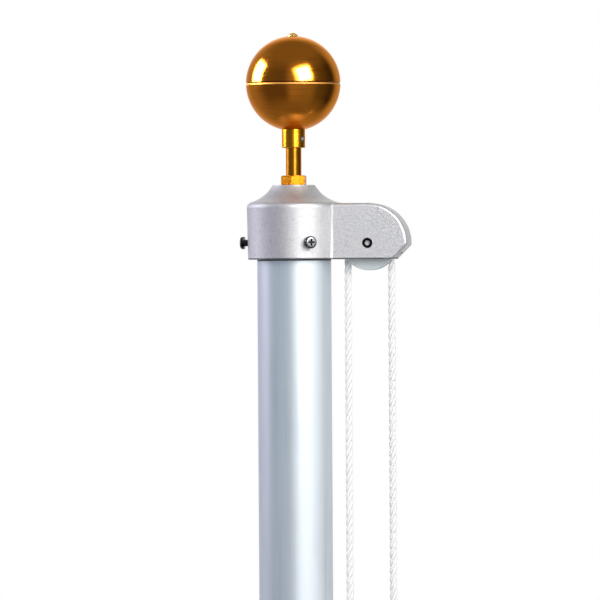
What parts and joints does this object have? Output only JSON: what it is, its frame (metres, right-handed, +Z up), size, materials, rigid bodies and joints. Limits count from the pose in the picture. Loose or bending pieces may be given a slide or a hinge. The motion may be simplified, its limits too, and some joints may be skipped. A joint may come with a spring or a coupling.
{
  "type": "flagpole head",
  "caption": "Top of a tubular flagpole: ball finial on a spindle, cast truck with a hooded rope sheave, clamp screws and halyard.",
  "frame": {"origin": "centre of the pole tube's square-cut lower end", "axes": "+Z up the pole to the ball, +X along the truck's sheave arm, -Y is the side of the axle screw's head"},
  "size_m": [0.139, 0.0812, 0.5347],
  "materials": {
    "pole": "satin anodised",
    "truck": "sand cast, as cast",
    "sheave": "moulded, semi matt",
    "dark_steel": "zinc plated, darkened",
    "bright_steel": "bright stainless",
    "gold_bar": "gold anodised, turned",
    "gold_ball": "gold anodised, polished",
    "rope": "laid synthetic rope"
  },
  "bodies": {
    "mast": {"pole_tube": "pole", "truck_casting": "truck", "sheave_axle": "dark_steel", "halyard": "rope", "halyard_knot_inner": "rope", "halyard_knot_outer": "rope", "spindle": "gold_bar", "spindle_nut": "gold_bar", "ball_ferrule": "gold_bar", "ball_grub_screw": "bright_steel", "ball_lower_half": "gold_ball", "ball_upper_half": "gold_ball", "ball_top_rivet": "gold_bar", "clamp_screw_front": "dark_steel", "clamp_screw_left": "dark_steel", "clamp_screw_back": "dark_steel"},
    "sheave_wheel": {"sheave": "sheave"}
  },
  "joints": [
    {"name": "sheave_spin", "type": "hinge", "parent": "mast", "child": "sheave_wheel", "pos_m": [0.062, 0, 0.363], "axis": [0, 1, 0], "continuous": true}
  ]
}
